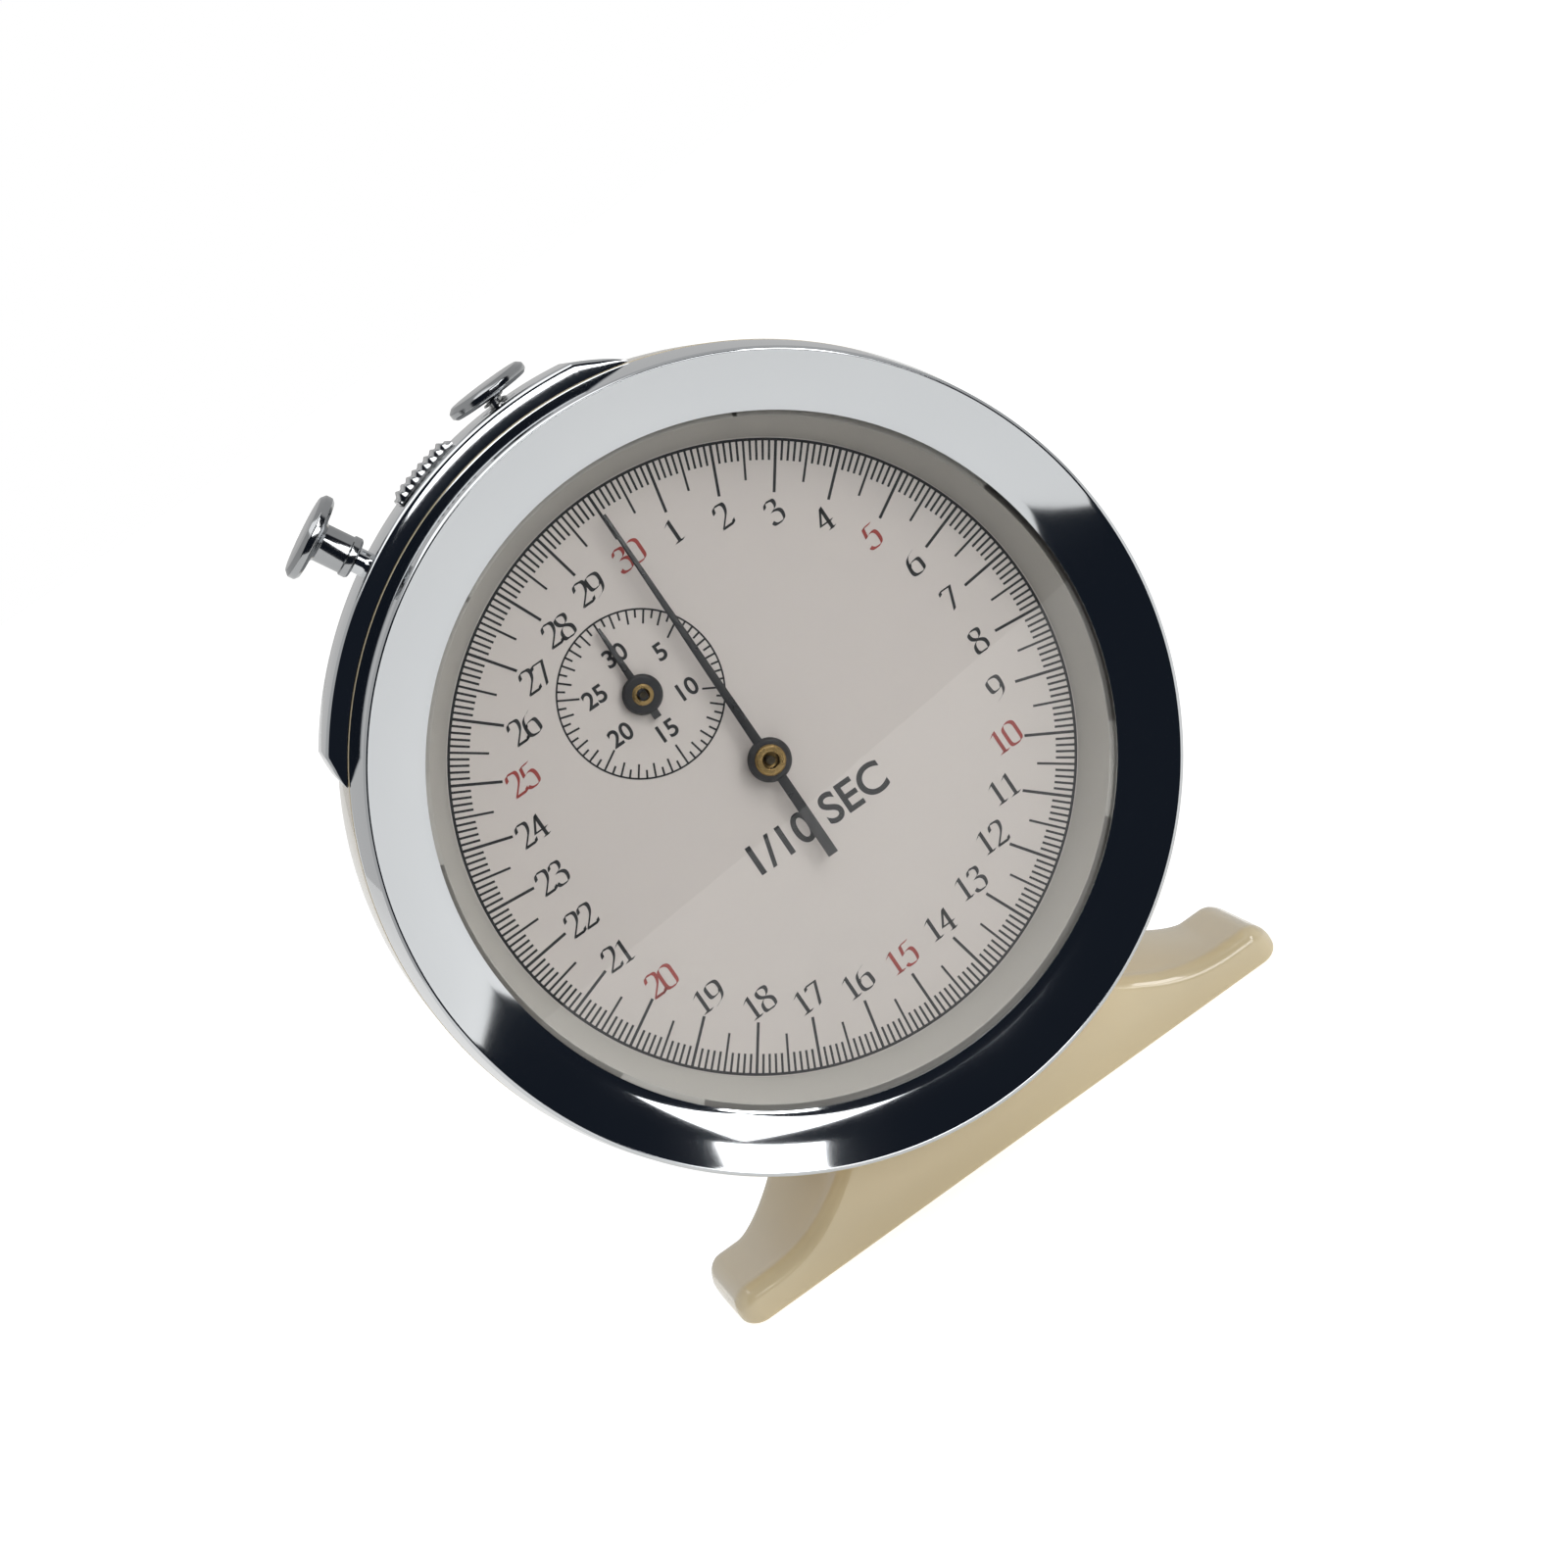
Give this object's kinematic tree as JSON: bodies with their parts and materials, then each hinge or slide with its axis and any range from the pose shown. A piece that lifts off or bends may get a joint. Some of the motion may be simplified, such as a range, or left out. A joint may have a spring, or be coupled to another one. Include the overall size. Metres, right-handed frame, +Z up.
{
  "type": "mechanical stopwatch",
  "caption": "Round bench stopwatch on a cream moulded base, with chrome bezel, tenth-second dial, small minute dial, push crown, reset button and thumb slide.",
  "frame": {"origin": "centre of the base's underside", "axes": "+Z up from the table, -Y is the way the dial faces, +X to the reader's right"},
  "size_m": [0.1212, 0.0464, 0.1375],
  "materials": {
    "cream_plastic": "glossy moulded plastic, warm cream",
    "bright_chrome": "mirror polished",
    "polished_steel": "polished",
    "spring_steel": "blued",
    "brass": "satin, gilt",
    "dial_enamel": "matt silver grey",
    "rehaut_enamel": "satin light grey",
    "black_enamel": "satin black",
    "clear_glass": "clear",
    "seal_rubber": "matt"
  },
  "bodies": {
    "case": {"case_shell": "cream_plastic", "rear_cover": "bright_chrome", "rear_cover_screws": "polished_steel", "bezel": "bright_chrome", "glass": "clear_glass", "glass_seal": "seal_rubber", "rehaut_ring": "rehaut_enamel", "dial": "dial_enamel", "saddle_cover": "bright_chrome", "saddle_screws": "polished_steel", "crown_tube": "bright_chrome", "reset_bush": "bright_chrome", "crown_spring": "spring_steel", "reset_spring": "spring_steel", "base_stand": "cream_plastic", "base_screws": "polished_steel", "movement_ring": "brass", "movement_screws": "polished_steel", "front_plate": "brass", "back_plate": "brass", "pillars": "brass", "plate_screws": "polished_steel", "balance_cock": "brass", "hairspring": "spring_steel"},
    "winding_pinion_body": {"winding_pinion": "polished_steel"},
    "crown": {"crown_knob": "bright_chrome", "crown_stem": "polished_steel"},
    "crown_wheel_body": {"crown_wheel": "polished_steel", "crown_wheel_arbor": "polished_steel"},
    "ratchet": {"ratchet_wheel": "polished_steel", "barrel_arbor": "polished_steel"},
    "click_body": {"click": "polished_steel"},
    "barrel_body": {"barrel": "brass", "barrel_cover": "brass", "mainspring": "spring_steel"},
    "second": {"second_wheel": "brass", "second_pinion": "polished_steel"},
    "third": {"third_wheel": "brass", "third_pinion": "polished_steel"},
    "sweep": {"sweep_arbor": "polished_steel", "sweep_wheel": "brass", "sweep_heart": "polished_steel", "sweep_hand": "black_enamel", "sweep_collet": "brass"},
    "intermediate": {"intermediate_wheel": "brass"},
    "minute": {"minute_wheel": "brass", "minute_arbor": "polished_steel", "minute_heart": "polished_steel", "minute_hand": "black_enamel", "minute_collet": "brass"},
    "escape": {"escape_wheel": "polished_steel"},
    "pallets": {"pallet_fork": "polished_steel"},
    "balance": {"balance_wheel": "brass", "balance_staff": "polished_steel"},
    "regulator_body": {"regulator": "polished_steel"},
    "reset": {"reset_button": "bright_chrome", "reset_stem": "polished_steel"},
    "hammer": {"reset_hammer": "polished_steel"},
    "start_lever_body": {"start_lever": "polished_steel"},
    "stop_slide_body": {"stop_slide": "bright_chrome"}
  },
  "joints": [
    {"name": "sweep_turn", "type": "hinge", "parent": "case", "child": "sweep", "pos_m": [0, -0.018, 0.07], "axis": [0, 1, 0], "continuous": true},
    {"name": "intermediate_turn", "type": "hinge", "parent": "case", "child": "intermediate", "pos_m": [-0.00038, -0.018, 0.08124], "axis": [0, 1, 0], "continuous": true},
    {"name": "minute_turn", "type": "hinge", "parent": "case", "child": "minute", "pos_m": [-0.0097, -0.018, 0.08807], "axis": [0, 1, 0], "continuous": true},
    {"name": "third_turn", "type": "hinge", "parent": "case", "child": "third", "pos_m": [-0.00787, -0.018, 0.06062], "axis": [0, 1, 0], "continuous": true},
    {"name": "second_turn", "type": "hinge", "parent": "case", "child": "second", "pos_m": [-0.02156, -0.018, 0.05757], "axis": [0, 1, 0], "continuous": true},
    {"name": "barrel_turn", "type": "hinge", "parent": "case", "child": "barrel_body", "pos_m": [-0.02445, -0.018, 0.0752], "axis": [0, 1, 0], "continuous": true},
    {"name": "escape_turn", "type": "hinge", "parent": "case", "child": "escape", "pos_m": [0.0055, -0.018, 0.06047], "axis": [0, 1, 0], "continuous": true},
    {"name": "pallet_rock", "type": "hinge", "parent": "case", "child": "pallets", "pos_m": [0.00845, -0.018, 0.05536], "axis": [0, 1, 0], "range_deg": [-4, 4]},
    {"name": "balance_swing", "type": "hinge", "parent": "case", "child": "balance", "pos_m": [0.01425, -0.018, 0.04532], "axis": [0, 1, 0], "range_deg": [-270, 270]},
    {"name": "regulator_turn", "type": "hinge", "parent": "case", "child": "regulator_body", "pos_m": [0.01425, -0.018, 0.04532], "axis": [0, 1, 0], "range_deg": [-12, 12]},
    {"name": "crown_turn", "type": "hinge", "parent": "case", "child": "winding_pinion_body", "pos_m": [-0.02954, -0.011, 0.12222], "axis": [-0.4924, 0, 0.8704], "continuous": true},
    {"name": "crown_push", "type": "slide", "parent": "winding_pinion_body", "child": "crown", "axis": [0.4924, 0, -0.8704], "range_m": [0, 0.0014], "stiffness_N_per_m": 1200, "springref_m": -0.002, "deforming": ["crown_spring"]},
    {"name": "crown_wheel_turn", "type": "hinge", "parent": "case", "child": "crown_wheel_body", "pos_m": [-0.01625, -0.018, 0.09872], "axis": [0, 1, 0], "continuous": true},
    {"name": "ratchet_turn", "type": "hinge", "parent": "case", "child": "ratchet", "pos_m": [-0.02445, -0.018, 0.0752], "axis": [0, 1, 0], "continuous": true},
    {"name": "click_lift", "type": "hinge", "parent": "case", "child": "click_body", "pos_m": [-0.0357, -0.018, 0.06179], "axis": [0, 1, 0], "range_deg": [0, 8], "stiffness_Nm_per_rad": 0.001, "springref_deg": -5.73},
    {"name": "reset_push", "type": "slide", "parent": "case", "child": "reset", "axis": [0.0419, 0, -0.9991], "range_m": [0, 0.0013], "stiffness_N_per_m": 1200, "springref_m": -0.002, "deforming": ["reset_spring"]},
    {"name": "hammer_drop", "type": "slide", "parent": "case", "child": "hammer", "axis": [0, 0, -1], "range_m": [0, 0.0013]},
    {"name": "start_lever_rock", "type": "hinge", "parent": "case", "child": "start_lever_body", "pos_m": [-0.0394, -0.018, 0.10078], "axis": [0, 1, 0], "range_deg": [0, 4.24]},
    {"name": "stop_slide_shift", "type": "hinge", "parent": "case", "child": "stop_slide_body", "pos_m": [0, -0.018, 0.07], "axis": [0, -1, 0], "range_deg": [0, 4]}
  ],
  "couplings": [
    {"joint": "intermediate_turn", "follows": "sweep_turn", "ratio": -0.125},
    {"joint": "minute_turn", "follows": "sweep_turn", "ratio": 0.016667},
    {"joint": "third_turn", "follows": "sweep_turn", "ratio": -0.16667},
    {"joint": "second_turn", "follows": "sweep_turn", "ratio": 0.027778},
    {"joint": "barrel_turn", "follows": "sweep_turn", "ratio": -0.0046296},
    {"joint": "escape_turn", "follows": "sweep_turn", "ratio": -10},
    {"joint": "crown_wheel_turn", "follows": "crown_turn", "ratio": -0.5},
    {"joint": "ratchet_turn", "follows": "crown_turn", "ratio": 0.40385},
    {"joint": "hammer_drop", "follows": "reset_push", "ratio": 1},
    {"joint": "start_lever_rock", "follows": "crown_push", "rad_per_m": 52.263}
  ]
}
